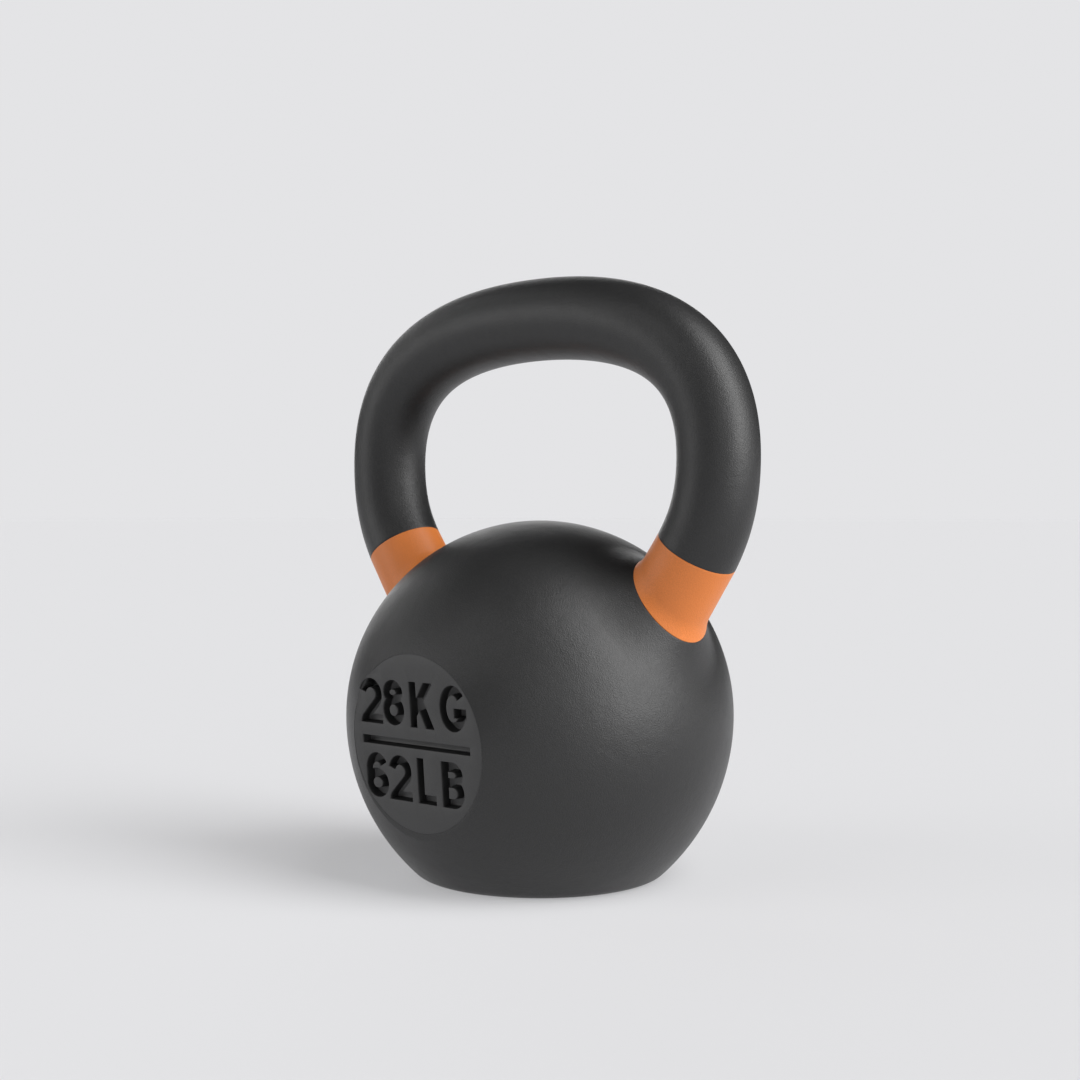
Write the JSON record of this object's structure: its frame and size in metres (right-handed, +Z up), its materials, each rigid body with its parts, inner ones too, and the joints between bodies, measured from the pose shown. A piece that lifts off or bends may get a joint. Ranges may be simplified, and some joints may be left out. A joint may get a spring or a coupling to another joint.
{
  "type": "kettlebell",
  "caption": "Cast-iron kettlebell: flat-based ball, bent bar handle with orange bands at its feet, and a flat round plate on one side marked with the mass.",
  "frame": {"origin": "centre of the flat base, on the surface that the kettlebell stands on", "axes": "+Z up from the base to the handle's grip; the handle lies in the XZ plane, and the marked plate faces -Y"},
  "size_m": [0.2486, 0.1805, 0.288],
  "materials": {
    "black_powder_coat": "matte",
    "orange_coat": "matte",
    "plate_coat": "matte"
  },
  "bodies": {
    "root": {"bell": "black_powder_coat", "handle": "black_powder_coat", "colour_band_right": "orange_coat", "colour_band_left": "orange_coat", "weight_plate": "plate_coat"}
  },
  "joints": []
}
